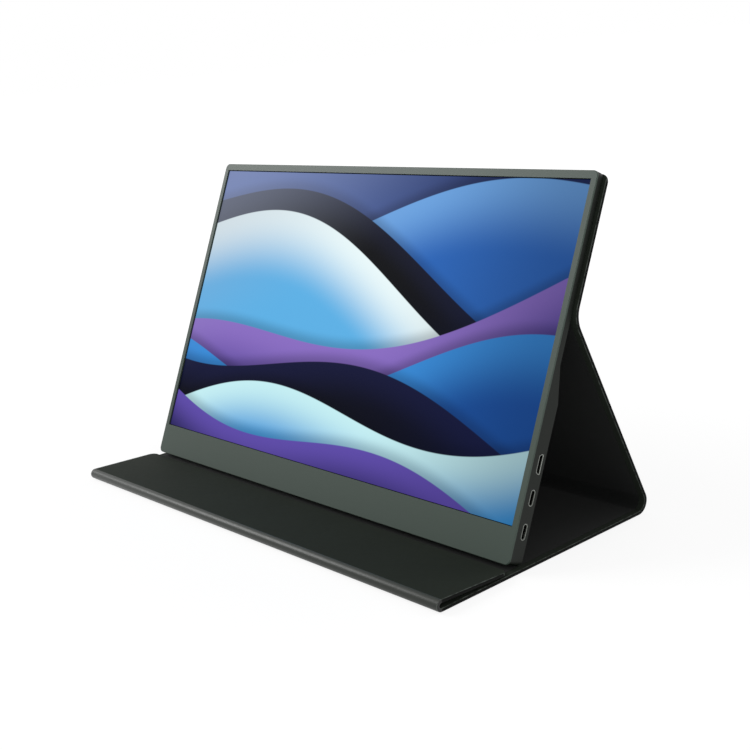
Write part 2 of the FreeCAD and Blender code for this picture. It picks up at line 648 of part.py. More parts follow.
# main board, its chips and the three sockets on the right
MAIN = slab("main_left", "main_right", "main_board_foot", "main_head", "board_front", "board_back")
HOLES = [pin(across, up, "board_front - cut_overrun", "board_back + cut_overrun",
             "board_shank_radius + screw_gap") for across, up in BOARD_SCREWS]
part(cut(MAIN, HOLES[:3]), "main_board")
chips = []
for name in ("scaler", "memory", "power", "choke"):
    middle = "main_left + main_board_width * %s_across_share" % name
    height = "main_board_foot + main_board_height * %s_up_share" % name
    chips.append(slab("%s - %s_side / 2" % (middle, name), "%s + %s_side / 2" % (middle, name),
                      "%s - %s_side / 2" % (height, name), "%s + %s_side / 2" % (height, name),
                      "board_front - %s_depth" % name, "board_front"))
part(group(chips), "board_chips")
shells = []
tongues = []
for high in ("usb_low", "usb_high"):
    whole = long_hole("socket_in", "socket_out", high, "usb_w", "usb_width", "usb_height")
    space = long_hole("socket_in + socket_back", "socket_out + cut_overrun", high, "usb_w",
                      "usb_width - 2 * socket_skin", "usb_height - 2 * socket_skin")
    shells.append(cut(whole, [space]))
    tongues.append(slab("socket_in + socket_back", "socket_out - tongue_short",
                        "%s - tongue_width / 2" % high, "%s + tongue_width / 2" % high,
                        "usb_w - tongue_depth / 2", "usb_w + tongue_depth / 2"))
part(group(shells), "usb_c_shells")
part(group(tongues), "usb_c_tongues")
whole = body("monitor")
video_profile(whole, "0", "socket_in", "socket_length")
space = body("monitor")
video_profile(space, "-socket_skin", "socket_in + socket_back", "socket_length")
part(cut(whole, [space]), "mini_video_shell")
part(slab("socket_in + socket_back", "socket_out - tongue_short",
          "video_low - video_tongue_width / 2", "video_low + video_tongue_width / 2",
          "video_w - tongue_depth / 2", "video_w + tongue_depth / 2"), "mini_video_tongue")

# left-hand board with its switches, the jog wheel, the power button and the sound socket
KEYS = slab("key_left", "key_right", "key_foot", "key_head", "board_front", "board_back")
part(cut(KEYS, HOLES[3:]), "key_board")
part(slab("key_right - flex_lap", "main_left + flex_lap", "key_flex_foot",
          "key_flex_foot + key_flex_height", "flex_w", "board_front"), "key_ribbon")
part(slab("jog_switch_x", "jog_switch_x + jog_switch_length", "jog_high - jog_switch_width / 2",
          "jog_high + jog_switch_width / 2", "board_front - jog_switch_depth", "board_front"),
     "jog_switch")
plate = slab("jog_x - jog_plate_front", "jog_x + jog_plate_back", "jog_high - jog_plate_half",
             "jog_high + jog_plate_half", "jog_plate_w", "jog_plate_w + jog_plate_depth")
part(fuse([plate, pin("jog_x", "jog_high", "jog_front", "jog_plate_w + jog_plate_depth / 2",
                      "jog_pin_radius")]), "jog_slider")
part(cut(pin("jog_x", "jog_high", "jog_front", "jog_back", "jog_radius"),
         [pin("jog_x", "jog_high", "jog_front - cut_overrun", "jog_back + cut_overrun",
              "jog_pin_radius + jog_fit")]), "jog_wheel")
cap = long_hole("-half_width - button_proud", "flange_in", "button_high", "button_w",
                "button_width", "button_height")
flange = slab("flange_out", "flange_in", "button_high - button_width / 2 - flange_rim",
              "button_high + button_width / 2 + flange_rim",
              "button_w - button_height / 2 - flange_rim",
              "button_w + button_height / 2 + flange_rim")
part(fuse([cap, flange]), "power_button")
plunger = slab("plunger_out", "plunger_in + cut_overrun", "button_high - plunger_side / 2",
               "button_high + plunger_side / 2", "button_w - plunger_side / 2",
               "button_w + plunger_side / 2")
switch = slab("plunger_in", "plunger_in + switch_length", "button_high - switch_width / 2",
              "button_high + switch_width / 2", "board_front - switch_depth", "board_front")
part(fuse([plunger, switch]), "power_switch")
jack = slab("jack_out", "jack_out + jack_length", "jack_high - jack_width / 2",
            "jack_high + jack_width / 2", "jack_back - jack_depth", "jack_back")
part(cut(jack, [cross_rod("jack_out - cut_overrun", "jack_out + jack_reach", "jack_high", "jack_w",
                          "jack_bore")]), "audio_jack")

# screws, sound, steel strips
screws = []
for across, up in BOARD_SCREWS:
    head = pin(across, up, "board_front - board_head_depth", "board_front", "board_head_radius")
    shank = pin(across, up, "board_front - board_head_depth / 2",
                "board_back + board_bite - screw_gap", "board_shank_radius")
    screws.append(fuse([head, shank]))
part(group(screws), "board_screws")
for sign, name in (("-", "speaker_left"), ("", "speaker_right")):
    case = body("monitor")
    drawn = sketch(case, FACE, "-(speaker_back - speaker_depth)")
    box_outline(drawn, "%sspeaker_middle - speaker_width / 2" % sign,
                "%sspeaker_middle + speaker_width / 2" % sign, "speaker_foot", "speaker_head")
    solid = pad(case, drawn, "speaker_depth", True)
    soften(case, solid, "Fillet", "Radius", "speaker_round",
           lambda edge: edge.BoundBox.XLength + edge.BoundBox.YLength < value("snug_gap") / 10)
    part(case, name)
part(fuse([
    slab("-speaker_middle - lead_tab / 2", "main_left + flex_lap", "lead_foot",
         "lead_foot + lead_height", "flex_w", "board_front"),
    slab("-speaker_middle - lead_tab / 2", "-speaker_middle + lead_tab / 2", "speaker_head",
         "lead_foot + lead_height", "flex_w", "board_front"),
    slab("speaker_middle - lead_tab / 2", "speaker_middle + lead_tab / 2", "speaker_head",
         "lead_foot + lead_height", "flex_w", "board_front"),
]), "speaker_leads")
part(slab("-strip_width / 2", "strip_width / 2",
          "crease_height + upper_magnet_high - strip_height / 2",
          "crease_height + upper_magnet_high + strip_height / 2",
          "upper_depth - case_wall - strip_depth", "upper_depth - case_wall"), "holding_strips")


# cover: each panel is a skin tray, a stiff board in it and a lining over both
def panel(name, length, near, far, round_low, round_high, magnets):
    rounds = [up for up, wanted in (("0", round_low), (length, round_high)) if wanted]
    skin = body(name)
    drawn = sketch(skin, FACE, "-cover_thick / 2")
    box_outline(drawn, "-cover_width / 2", "cover_width / 2", "0", length)
    solid = pad(skin, drawn, "skin_depth + stiff_depth")
    if rounds:
        soften(skin, solid, "Fillet", "Radius", "cover_corner",
               lambda edge: upright(edge, "cover_width / 2", rounds))
    drawn = sketch(skin, FACE, "cover_thick / 2 - lining_depth")
    box_outline(drawn, "-cover_width / 2 + turn_in", "cover_width / 2 - turn_in",
                near, "%s - (%s)" % (length, far))
    pocket(skin, drawn, "stiff_depth")
    part(skin, name + "_skin")
    stiff = body(name)
    drawn = sketch(stiff, FACE, "-cover_thick / 2 + skin_depth")
    box_outline(drawn, "-cover_width / 2 + turn_in + snug_gap",
                "cover_width / 2 - turn_in - snug_gap", "%s + snug_gap" % near,
                "%s - (%s) - snug_gap" % (length, far))
    pad(stiff, drawn, "stiff_depth")
    if magnets:
        spaces = [rod(name, across, up, "-cover_thick / 2 + skin_depth - cut_overrun",
                      "cover_thick / 2 - lining_depth + cut_overrun", "magnet_radius + snug_gap")
                  for across, up in magnets]
        stiff = cut(stiff, spaces)
        discs = [rod(name, across, up, "-cover_thick / 2 + skin_depth",
                     "-cover_thick / 2 + skin_depth + magnet_depth", "magnet_radius")
                 for across, up in magnets]
        part(group(discs), name + "_magnets")
    part(stiff, name + "_board")
    lining = body(name)
    drawn = sketch(lining, FACE, "cover_thick / 2 - lining_depth")
    box_outline(drawn, "-cover_width / 2", "cover_width / 2", "0", length)
    solid = pad(lining, drawn, "lining_depth")
    if rounds:
        soften(lining, solid, "Fillet", "Radius", "cover_corner",
               lambda edge: upright(edge, "cover_width / 2", rounds))
    part(lining, name + "_lining")


def row(count, pitch, up):
    return [("%s * %g" % (pitch, number - (count - 1) / 2), up) for number in range(count)]


panel("upper", "upper_length", "turn_in", "turn_in", False, True,
      row(UPPER_MAGNET_COUNT, "upper_magnet_pitch", "upper_magnet_high"))
panel("prop", "prop_length", "turn_in", "turn_in", False, False, None)
panel("base", "base_length", "turn_in", "spine_margin", False, False,
      row(LIP_MAGNET_COUNT, "lip_magnet_pitch", "lip_length - lip_magnet_in"))
panel("lip", "lip_length", "turn_in", "turn_in", True, False,
      row(LIP_MAGNET_COUNT, "lip_magnet_pitch", "lip_magnet_in"))


# the three soft folds, each an outer skin and an inner lining turned about its own line
def fold(name, place_y, place_z, angle, centre_y, centre_z, sense, turned):
    for layer, start in (("skin", "0"), ("lining", "cover_thick / 2")):
        strip = doc.addObject("Part::Plane", "strip")
        bind(strip, "Length", "cover_width")
        bind(strip, "Width", "cover_thick / 2")
        strip.Placement = FreeCAD.Placement(V(), FreeCAD.Rotation(ALONG_X, 1))
        bind(strip, "Placement.Rotation.Angle", angle)
        bind(strip, "Placement.Base.x", "-cover_width / 2")
        bind(strip, "Placement.Base.y", "%s + (%s) * cos(%s)" % (place_y, start, angle))
        bind(strip, "Placement.Base.z", "%s + (%s) * sin(%s)" % (place_z, start, angle))
        turned_strip = doc.addObject("Part::Revolution", "fold")
        turned_strip.Source = strip
        turned_strip.Axis = ALONG_X * sense
        turned_strip.Solid = True
        bind(turned_strip, "Base.y", centre_y)
        bind(turned_strip, "Base.z", centre_z)
        bind(turned_strip, "Angle", turned)
        part(turned_strip, "%s_%s" % (name, layer))


derive("rear_y", "rear_end_y - middle_y")
derive("upright_angle", "90 + base_angle")
derive("crease_y", "prop_top_y - middle_y + crease_radius * cos(prop_lean)")
derive("crease_z", "prop_top_z + crease_radius * sin(prop_lean)")
derive("crease_angle", "180 + prop_lean")
doc.recompute()
fold("rear_fold", "rear_y", "0", "upright_angle", "rear_y", "base_z + rear_fold_radius",
     1, "rear_turn")
fold("front_fold", "base_y", "0", "upright_angle", "base_y", "base_z + front_fold_radius",
     -1, "180 + wedge")
fold("crease", "prop_top_y - middle_y + cover_thick / 2 * cos(prop_lean)",
     "prop_top_z + cover_thick / 2 * sin(prop_lean)", "crease_angle",
     "crease_y", "crease_z", -1, "crease_turn")
doc.recompute()

broken = [item.Label for item in doc.Objects if "Invalid" in item.State or "Error" in item.State]
if broken:
    raise RuntimeError("not rebuilt: " + ", ".join(broken))
os.makedirs("parts", exist_ok=True)
for item in PARTS:
    if item.Shape.isNull() or not item.Shape.isValid():
        raise RuntimeError("bad shape: " + item.Label)
    item.Shape.exportStep("parts/%s.step" % item.Label)
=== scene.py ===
"""Looks for a portable monitor that leans on its soft folding cover."""
import json
from math import asin, cos, pi, radians, sin

import bmesh
import bpy
from mathutils import Matrix, Vector


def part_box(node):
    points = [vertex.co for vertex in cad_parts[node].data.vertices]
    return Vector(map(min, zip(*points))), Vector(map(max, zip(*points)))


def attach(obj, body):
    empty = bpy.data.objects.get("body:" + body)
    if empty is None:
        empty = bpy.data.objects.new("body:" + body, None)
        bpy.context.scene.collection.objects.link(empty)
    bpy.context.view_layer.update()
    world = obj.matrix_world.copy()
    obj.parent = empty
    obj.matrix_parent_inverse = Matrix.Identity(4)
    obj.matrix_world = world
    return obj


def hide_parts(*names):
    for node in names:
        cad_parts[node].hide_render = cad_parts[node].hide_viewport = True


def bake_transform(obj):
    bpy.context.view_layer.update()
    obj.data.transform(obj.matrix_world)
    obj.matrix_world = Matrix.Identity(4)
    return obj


bl_info = {
    "name": "Portable monitor looks",
    "version": (1, 0, 0),
    "blender": (4, 5, 0),
    "location": "3D View > Sidebar > Monitor",
    "description": "Dresses the monitor and its folding cover for a studio picture",
    "category": "Object",
}

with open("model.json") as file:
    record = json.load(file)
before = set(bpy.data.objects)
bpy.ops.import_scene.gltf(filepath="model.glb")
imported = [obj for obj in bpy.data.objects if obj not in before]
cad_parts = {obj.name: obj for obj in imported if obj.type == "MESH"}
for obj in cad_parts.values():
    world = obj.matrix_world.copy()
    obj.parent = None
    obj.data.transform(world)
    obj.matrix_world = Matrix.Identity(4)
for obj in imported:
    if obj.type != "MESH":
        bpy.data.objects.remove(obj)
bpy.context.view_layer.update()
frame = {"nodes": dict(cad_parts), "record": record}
MM = 0.001
# two places this close count as one, and points closer than the second value are merged
NEAR, MERGE = 0.01 * MM, 0.002 * MM
# an edge runs along an axis if this share of its length does
PARALLEL = 0.999
# steps of a bevel: on a corner seen from above, on an edge, on a small edge
CORNER_STEPS, EDGE_STEPS, FINE_STEPS = 10, 4, 2


def linear(code):
    """A written sRGB colour such as 4b534c, as linear red, green and blue."""
    parts = [int(code[place:place + 2], 16) / 255 for place in (0, 2, 4)]
    return tuple(p / 12.92 if p <= 0.04045 else ((p + 0.055) / 1.055) ** 2.4 for p in parts)


def length(name, default, description):
    return bpy.props.FloatProperty(name=name, description=description, default=default * MM,
                                   min=0.0, precision=5, unit="LENGTH", subtype="DISTANCE")


def angle(name, default, description):
    return bpy.props.FloatProperty(name=name, description=description, default=radians(default),
                                   unit="ROTATION", subtype="ANGLE")


def colour(name, code, description):
    return bpy.props.FloatVectorProperty(name=name, description=description, subtype="COLOR",
                                         default=linear(code), min=0.0, max=1.0)


def number(name, default, description):
    return bpy.props.FloatProperty(name=name, description=description, default=default, min=0.0)


class MonitorShape(bpy.types.PropertyGroup):
    """Sizes of the monitor that the new pieces have to meet."""
    lean: angle("Lean", 24.5, "How far the monitor leans back")
    half_width: length("Half width", 176.4, "From the middle of the monitor to its side wall")
    picture_width: length("Picture width", 344.2, "Lit width of the screen")
    picture_height: length("Picture height", 193.6, "Lit height of the screen")
    chin: length("Chin", 21.3, "Height of the bezel under the picture")
    lower_depth: length("Lower depth", 10.4, "Thickness of the monitor's lower part")
    upper_depth: length("Upper depth", 5.0, "Thickness of the monitor's upper part")
    height: length("Height", 220.0, "Height of the monitor along its face")
    back_round: length("Back round", 3.0, "Round of the monitor's lower back edge")


class CoverShape(bpy.types.PropertyGroup):
    """Sizes of the folding cover."""
    half_width: length("Half width", 179.2, "From the middle of the cover to its side edge")
    thickness: length("Thickness", 2.2, "Whole thickness of a panel")
    prop_lean: angle("Prop lean", 24.4, "Angle of the prop panel from upright")
    crease_share: number("Crease share", 0.6614, "Crease height as a share of the monitor")
    rear_radius: length("Rear fold", 6.9, "Middle radius of the round rear fold")
    front_radius: length("Front fold", 2.4, "Middle radius of the round front fold")
    lip_length: length("Lip length", 50.0, "Length of the folded lip")
    lip_gap: length("Lip gap", 3.0, "Gap from the lip's edge to the monitor")
    rest_gap: length("Rest gap", 0.3, "Gap under the monitor and under the lip's edge")
    top_inset: length("Top inset", 0.5, "From the upper panel's end to the monitor's top")
    corner: length("Corner", 5.0, "Round of the cover's free corners")
    edge_round: length("Edge round", 0.7, "Round of the turned edges")
    turn_in: length("Turned edge", 4.5, "Width of skin that shows round the lining")
    lining_proud: length("Lining proud", 0.15, "How far the lining stands above the turned edge")
    lining_depth: length("Lining depth", 0.35, "Thickness of the lining sheet")
    skin: colour("Skin", "1d221c", "Outer skin colour")
    # painted highlight: a pale line along the crest of the skin's side edges
    crest: colour("Crest highlight", "565c57", "Painted highlight along the crest of the side edges")
    # painted shade: a dark band on the outermost side edges of the skin
    edge_shade: colour("Edge shade", "090a09", "Painted shade on the side edges of the skin")
    lining: colour("Lining", "0d0f0e", "Lining colour")


class CaseColours(bpy.types.PropertyGroup):
    """Finishes of the monitor's own pieces."""
    bezel: colour("Bezel", "3a473f", "Satin front frame")
    case: colour("Case", "151915", "Side walls and back")
    controls: colour("Controls", "141514", "Wheel and button")
    metal: colour("Socket metal", "8e918c", "Plated socket shells")


class Studio(bpy.types.PropertyGroup):
    """Lamps, floor and camera."""
    key_power: number("Key", 30.0, "Power of the large front lamp in watts")
    rim_power: number("Rim", 5.0, "Power of the lamp behind in watts")
    fill_power: number("Fill", 5.0, "Power of the lamp on the right in watts")
    world_light: number("World", 0.45, "Light from all round")
    floor_share: number("Floor share", 0.8, "Share of plain white in the floor")
    lens: number("Lens", 61.092, "Focal length in millimetres on a 36 mm sensor")


def settings():
    return bpy.context.scene.monitor_looks


class MonitorLooks(bpy.types.PropertyGroup):
    """All the settings of this file."""
    monitor: bpy.props.PointerProperty(type=MonitorShape)
    cover: bpy.props.PointerProperty(type=CoverShape)
    case: bpy.props.PointerProperty(type=CaseColours)
    studio: bpy.props.PointerProperty(type=Studio)


# places
def layout():
    """Where the cover's panels and folds lie: place in Y and Z, and turn about X."""
    mon, cov = settings().monitor, settings().cover
    lean, prop, thick = mon.lean, cov.prop_lean, cov.thickness
    foot_z = (thick + cov.rest_gap + mon.back_round * (1 - cos(lean))
              + (mon.lower_depth - mon.back_round) * sin(lean))
    crease_v = mon.height * cov.crease_share
    step = mon.lower_depth - mon.upper_depth + cov.rest_gap
    crease_r = step / (1 - cos(lean + prop))
    top_v = crease_v - crease_r * sin(lean + prop)
    top_w = mon.upper_depth + thick / 2 + step
    top_y = top_v * sin(lean) + top_w * cos(lean)
    top_z = foot_z + top_v * cos(lean) - top_w * sin(lean)
    prop_z = thick / 2 + cov.rear_radius * (1 + sin(prop))
    prop_length = (top_z - prop_z) / cos(prop)
    prop_y = top_y + prop_length * sin(prop)
    rear_y = prop_y - cov.rear_radius * cos(prop)
    wedge = asin((2 * cov.front_radius - thick - cov.rest_gap) / cov.lip_length)
    front_y = (-cov.lip_gap - cov.lip_length * cos(wedge) - cov.front_radius * sin(wedge))
    middle = (front_y - cov.front_radius + rear_y + cov.rear_radius) / 2
    upper_w = mon.upper_depth + thick / 2
    lip_z = thick / 2 + cov.front_radius * (1 + cos(wedge)) - cov.lip_length * sin(wedge)
    lip_end_y = -cov.lip_gap - cov.lip_length * cos(wedge)
    lip_end_z = lip_z + cov.lip_length * sin(wedge)
    upper_y = crease_v * sin(lean) + upper_w * cos(lean)
    upper_z = foot_z + crease_v * cos(lean) - upper_w * sin(lean)
    return {
        "foot": (-middle, foot_z),
        "base": (front_y - middle, thick / 2, 0.0, rear_y - front_y),
        "prop": (prop_y - middle, prop_z, pi / 2 + prop, prop_length),
        "lip": (-cov.lip_gap - middle, lip_z, pi - wedge, cov.lip_length),
        "upper": (upper_y - middle, upper_z, pi / 2 - lean, mon.height - cov.top_inset - crease_v),
        "rear_fold": (rear_y - middle, thick / 2, 0.0, cov.rear_radius, pi / 2 + prop, 1),
        "front_fold": (lip_end_y - middle, lip_end_z, pi - wedge, cov.front_radius, pi + wedge, 1),
        "crease": (top_y - middle, top_z, pi / 2 + prop, crease_r, lean + prop, -1),
    }


def on_monitor(across, up, back):
    """A point of the monitor: across the face, up the face and back from the face."""
    lean = settings().monitor.lean
    foot_y, foot_z = layout()["foot"]
    return Vector((across, foot_y + up * sin(lean) + back * cos(lean),
                   foot_z + up * cos(lean) - back * sin(lean)))


# modelling by hand
def clear_selection():
    if bpy.context.object and bpy.context.object.mode != "OBJECT":
        bpy.ops.object.mode_set(mode="OBJECT")
    bpy.ops.object.select_all(action="DESELECT")


def start(name, primitive, scale, centre=(0, 0, 0), **options):
    """A primitive at its size and place, left in edit mode with all of it selected."""
    clear_selection()
    primitive(**options)
    piece = bpy.context.object
    piece.name = name
    piece.data.name = name
    bpy.ops.object.mode_set(mode="EDIT")
    bpy.ops.mesh.select_all(action="SELECT")
    bpy.ops.transform.resize(value=scale)
    bpy.ops.transform.translate(value=centre)
    return piece


def pick(piece, kind, wanted):
    """Select the vertices, edges or faces that a test accepts, in edit mode."""
    bpy.ops.mesh.select_mode(type=kind)
    bpy.ops.mesh.select_all(action="DESELECT")
    mesh = bmesh.from_edit_mesh(piece.data)
    found = {"VERT": mesh.verts, "EDGE": mesh.edges, "FACE": mesh.faces}[kind]
    for item in found:
        if wanted(item):
            item.select_set(True)
    mesh.select_flush_mode()
    bmesh.update_edit_mesh(piece.data)


def middle_of(edge):
    return (edge.verts[0].co + edge.verts[1].co) / 2


def along(edge, axis):
    run = edge.verts[1].co - edge.verts[0].co
    return run.length > 0 and abs(run[axis]) > PARALLEL * run.length


def done(piece, matrix=None, smooth=35):
    """Leave edit mode, put the piece's place in its mesh and shade it."""
    bpy.ops.mesh.select_all(action="SELECT")
    bpy.ops.mesh.remove_doubles(threshold=MERGE)
    bpy.ops.mesh.normals_make_consistent(inside=False)
    bpy.ops.object.mode_set(mode="OBJECT")
    if matrix is not None:
        piece.matrix_world = matrix
    bpy.ops.object.transform_apply(location=True, rotation=True, scale=True)
    bpy.ops.object.shade_smooth_by_angle(angle=radians(smooth))


def dress(piece, material, body=None, nodes=()):
    piece.data.materials.clear()
    piece.data.materials.append(material)
    if body:
        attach(piece, body)
    if nodes:
        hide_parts(*nodes)


# materials
def node(tree, kind, links=None, **options):
    """One node with its settings, and its inputs as values or links."""
    made = tree.nodes.new(kind)
    for name, value in options.items():
        setattr(made, name, value)
    for name, value in (links or {}).items():
        if isinstance(value, bpy.types.NodeSocket):
            tree.links.new(value, made.inputs[name])
        else:
            made.inputs[name].default_value = value
    return made


def blank(name):
    """A new material with its tree, its shader and Object coordinates."""
    made = bpy.data.materials.new(name)
    made.use_nodes = True
    tree = made.node_tree
    shader = tree.nodes["Principled BSDF"]
    where = node(tree, "ShaderNodeTexCoord").outputs["Object"]
    return made, tree, shader, where


def ink(code):
    """A written sRGB colour for a socket, opaque."""
    return linear(code) + (1.0,)


def shade(rgb, factor):
    return tuple(min(1.0, part * factor) for part in rgb[:3]) + (1.0,)


# every fine grain: octaves and roughness of its noise, and how far the gloss varies either way
GRAIN_DETAIL, GRAIN_ROUGHNESS, GLOSS_SPREAD = 4.0, 0.55, 0.05


def grained(name, rgb, roughness, grain_mm, depth_mm, spread, **sockets):
    """A fine random grain: colour and roughness vary a little and the surface is lightly pitted."""
    made, tree, shader, where = blank(name)
    grain = node(tree, "ShaderNodeTexNoise", {
        "Vector": where, "Scale": 1 / (grain_mm * MM), "Detail": GRAIN_DETAIL,
        "Roughness": GRAIN_ROUGHNESS})
    tone = node(tree, "ShaderNodeMix", {
        "Factor": grain.outputs["Fac"], "A": shade(rgb, 1 - spread), "B": shade(rgb, 1 + spread)},
        data_type="RGBA")
    matt = node(tree, "ShaderNodeMapRange", {
        "Value": grain.outputs["Fac"], "To Min": roughness - GLOSS_SPREAD,
        "To Max": roughness + GLOSS_SPREAD})
    bump = node(tree, "ShaderNodeBump", {
        "Height": grain.outputs["Fac"], "Strength": 1.0, "Distance": depth_mm * MM})
    tree.links.new(tone.outputs[2], shader.inputs["Base Color"])
    tree.links.new(matt.outputs["Result"], shader.inputs["Roughness"])
    tree.links.new(bump.outputs["Normal"], shader.inputs["Normal"])
    for socket, value in sockets.items():
        shader.inputs[socket.replace("_", " ")].default_value = value
    return made


# skin: real pebbles are about 0.5 mm across; drawn at 0.9 mm so that they show
PEBBLE, CRINKLE, CLOUD = 0.9 * MM, 3.5 * MM, 45 * MM
CRINKLE_DETAIL, CRINKLE_ROUGHNESS, CRINKLE_SHARE = 5.0, 0.6, 0.6
CLOUD_DETAIL, CLOUD_ROUGHNESS = 3.0, 0.5
SKIN_RELIEF, SKIN_BUMP = 0.05 * MM, 0.55
SKIN_DARK, SKIN_PALE = 0.86, 1.14
# in from the cover's side edge: where the painted highlight on the crest and the painted shade on
# the side begin and are full
CREST_FROM, CREST_FULL = 0.8 * MM, 0.6 * MM
EDGE_SHADE_FROM, EDGE_SHADE_FULL = 0.3 * MM, 0.15 * MM
# the crest carries its painted highlight where the crinkle rises from the first value to the second
PATCH_FROM, PATCH_FULL = 0.35, 0.65
MATT_RANGE, SKIN_IOR = 0.12, 1.48


def pressed_skin(name, matt_most, rubbed_loss, gloss):
    """Polyurethane-coated cloth, pressed with a fine pebble.

    Its gloss is soft and broad, and the folds are rubbed smoother than the panels.
    """
    cov = settings().cover
    made, tree, shader, where = blank(name)

    def ramp(value, low, high):
        return node(tree, "ShaderNodeMapRange", {
            "Value": value, "From Min": low, "From Max": high}).outputs["Result"]

    def mix(factor, first, second):
        return node(tree, "ShaderNodeMix", {"Factor": factor, "A": first, "B": second},
                    data_type="RGBA").outputs[2]

    def times(first, second, plus=0.0):
        return node(tree, "ShaderNodeMath", {0: first, 1: second, 2: plus},
                    operation="MULTIPLY_ADD").outputs[0]

    pebble = node(tree, "ShaderNodeTexVoronoi", {"Vector": where, "Scale": 1 / PEBBLE},
                  feature="SMOOTH_F1").outputs["Distance"]
    crinkle = node(tree, "ShaderNodeTexNoise", {
        "Vector": where, "Scale": 1 / CRINKLE, "Detail": CRINKLE_DETAIL,
        "Roughness": CRINKLE_ROUGHNESS}).outputs["Fac"]
    cloud = node(tree, "ShaderNodeTexNoise", {
        "Vector": where, "Scale": 1 / CLOUD, "Detail": CLOUD_DETAIL,
        "Roughness": CLOUD_ROUGHNESS}).outputs["Fac"]
    bump = node(tree, "ShaderNodeBump", {
        "Height": times(crinkle, CRINKLE_SHARE, pebble), "Strength": SKIN_BUMP,
        "Distance": SKIN_RELIEF})
    # the crest of each side edge carries a painted highlight in places, and the side below it
    # carries painted shade
    split = node(tree, "ShaderNodeSeparateXYZ", {"Vector": where})
    out = node(tree, "ShaderNodeMath", {0: split.outputs["X"]}, operation="ABSOLUTE").outputs[0]
    rim = cov.half_width
    tone = mix(cloud, shade(cov.skin, SKIN_DARK), shade(cov.skin, SKIN_PALE))
    tone = mix(times(ramp(out, rim - CREST_FROM, rim - CREST_FULL),
                     ramp(crinkle, PATCH_FROM, PATCH_FULL)),
               tone, shade(cov.crest, 1))
    # painted shade darkens the side below each crest
    tone = mix(ramp(out, rim - EDGE_SHADE_FROM, rim - EDGE_SHADE_FULL), tone, shade(cov.edge_shade, 1))
    # flat panels carry no rubbed value and stay matt
    rubbed = node(tree, "ShaderNodeAttribute", attribute_name="rubbed").outputs["Fac"]
    matt = node(tree, "ShaderNodeMapRange", {
        "Value": crinkle, "To Min": matt_most - MATT_RANGE, "To Max": matt_most}).outputs["Result"]
    tree.links.new(tone, shader.inputs["Base Color"])
    tree.links.new(times(rubbed, -rubbed_loss, matt), shader.inputs["Roughness"])
    tree.links.new(bump.outputs["Normal"], shader.inputs["Normal"])
    shader.inputs["IOR"].default_value = SKIN_IOR
    shader.inputs["Specular IOR Level"].default_value = gloss
    return made


# lining: fibres are far finer than a pixel, so they are drawn as flecks
FLECK, FLECK_DETAIL, FLECK_ROUGHNESS = 0.4 * MM, 3.0, 0.7
STROKE, STROKE_DETAIL, STROKE_ROUGHNESS = 28 * MM, 2.0, 0.5
NAP_DARK, NAP_PALE = 0.75, 1.8
NAP_RELIEF, NAP_BUMP = 0.05 * MM, 0.5
NAP_MATT, NAP_GLOSS, NAP_SHEEN = 0.95, 0.2, 0.06


def microfibre():
    """Brushed microfibre lining: very matt, a short nap that lifts a little light at the rim."""
    rgb = settings().cover.lining
    made, tree, shader, where = blank("brushed_microfibre")
    fleck = node(tree, "ShaderNodeTexNoise", {
        "Vector": where, "Scale": 1 / FLECK, "Detail": FLECK_DETAIL,
        "Roughness": FLECK_ROUGHNESS})
    stroke = node(tree, "ShaderNodeTexNoise", {
        "Vector": where, "Scale": 1 / STROKE, "Detail": STROKE_DETAIL,
        "Roughness": STROKE_ROUGHNESS})
    nap = node(tree, "ShaderNodeMath", {0: fleck.outputs["Fac"], 1: stroke.outputs["Fac"]},
               operation="MULTIPLY")
    tone = node(tree, "ShaderNodeMix", {
        "Factor": nap.outputs[0], "A": shade(rgb, NAP_DARK), "B": shade(rgb, NAP_PALE)},
        data_type="RGBA")
    bump = node(tree, "ShaderNodeBump", {
        "Height": fleck.outputs["Fac"], "Strength": NAP_BUMP, "Distance": NAP_RELIEF})
    tree.links.new(tone.outputs[2], shader.inputs["Base Color"])
    tree.links.new(bump.outputs["Normal"], shader.inputs["Normal"])
    shader.inputs["Roughness"].default_value = NAP_MATT
    shader.inputs["Specular IOR Level"].default_value = NAP_GLOSS
    shader.inputs["Sheen Weight"].default_value = NAP_SHEEN
    return made


# the picture: rolling bands from the back of the view to the front, in picture heights;
# each is an edge line and two colours:
# height, slope, swing, waves, phase, colour at the edge, colour lower down, fade distance
BANDS = (
    (0.33, 0.10, 0.110, 2.7, 0.1, "6ea6e4", "2c69bd", 0.24),
    (0.23, -0.16, 0.150, 2.5, 2.3, "12152a", "07080e", 0.10),
    (0.14, -0.12, 0.165, 2.6, 2.6, "eefdff", "5fb4ea", 0.27),
    (0.01, 0.24, 0.130, 2.4, 4.1, "8d70c6", "44378d", 0.26),
    (-0.15, 0.09, 0.120, 3.1, 5.3, "3a8edb", "1b57a8", 0.22),
    (-0.23, -0.10, 0.100, 2.8, 1.0, "14173a", "090b1c", 0.14),
    (-0.32, 0.13, 0.110, 2.9, 2.9, "c9f3f8", "3b99de", 0.22),
    (-0.44, -0.12, 0.070, 3.4, 0.3, "604dab", "272459", 0.16),
)
SKY, SKY_REACH = ("5872b6", "1a2858"), 0.9
EDGE_SOFT = 0.002
CAST, CAST_REACH, CAST_DARK = "04060f", 0.05, 0.35
# over the bands: dusk on the right, and in the upper left corner a pale veil that is a painted
# reflection
DUSK, DUSK_FROM, DUSK_TO, DUSK_SHARE = "0a1238", 0.15, 0.95, 0.5
PAINTED_REFLECTION, PAINTED_REFLECTION_FROM, PAINTED_REFLECTION_TO, PAINTED_REFLECTION_SHARE = "9ea6bc", 0.2, 1.05, 0.45
PAINTED_REFLECTION_SLOPE = -0.6
# the film itself: its colour, the black outside the lit area, its grit and its finish
FILM, UNLIT, GRIT = "050505", "020202", 0.3 * MM
FILM_GLOSSY, FILM_MATT = 0.3, 0.36
PICTURE_POWER, FILM_GLOSS = 0.95, 0.01


